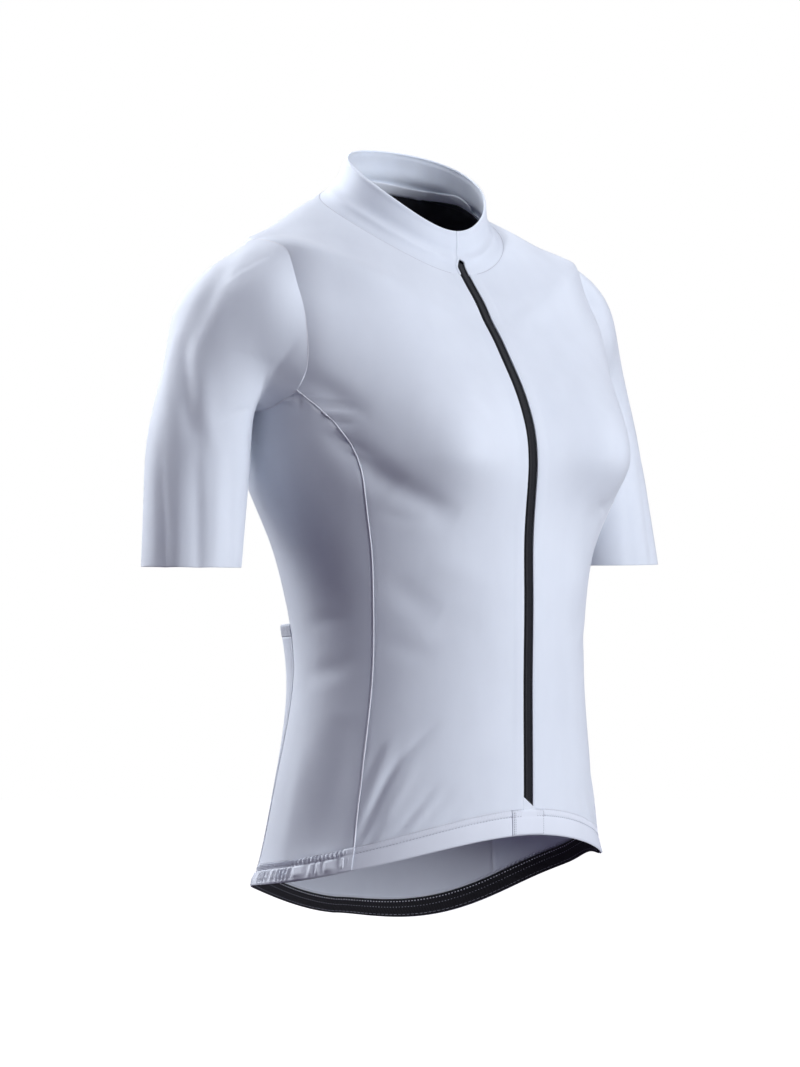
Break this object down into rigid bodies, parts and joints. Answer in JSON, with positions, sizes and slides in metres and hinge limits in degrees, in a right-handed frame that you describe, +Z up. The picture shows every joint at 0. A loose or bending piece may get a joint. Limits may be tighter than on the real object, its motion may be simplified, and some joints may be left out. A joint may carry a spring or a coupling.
{
  "type": "cycling jersey",
  "caption": "Short-sleeved cycling jersey with a stand collar, full front zip, princess seams, gripper hem and back pockets, in worn shape with no wearer.",
  "frame": {"origin": "middle of the neck, level with the neck ends of the shoulder seams, where the wearer carries the jersey", "axes": "+Z up, -Y the wearer's front, +X the wearer's left"},
  "size_m": [0.5476, 0.2784, 0.6622],
  "materials": {
    "white_knit": "fine matt weft knit, white with a cool tint",
    "white_hem": "matt elastic knit band",
    "black_elastic": "woven elastic with silicone dots",
    "black_lining": "matt knit",
    "zip_tape": "woven tape",
    "zip_coil": "satin",
    "slider_metal": "satin black"
  },
  "bodies": {
    "root": {"back": "white_knit", "back_lining": "black_lining", "collar": "white_knit", "front_left": "white_knit", "front_right": "white_knit", "hem_back": "white_hem", "hem_front_left": "white_hem", "hem_front_right": "white_hem", "hem_gripper": "black_elastic", "hem_side_left": "white_hem", "hem_side_right": "white_hem", "pocket_centre": "white_knit", "pocket_left": "white_knit", "pocket_right": "white_knit", "pocket_trim_centre": "white_hem", "pocket_trim_left": "white_hem", "pocket_trim_right": "white_hem", "side_left": "white_knit", "side_right": "white_knit", "sleeve_left": "white_knit", "sleeve_right": "white_knit", "zip_coil": "zip_coil", "zip_foot": "white_hem", "zip_slider": "slider_metal", "zip_tape_left": "zip_tape", "zip_tape_right": "zip_tape"}
  },
  "joints": []
}
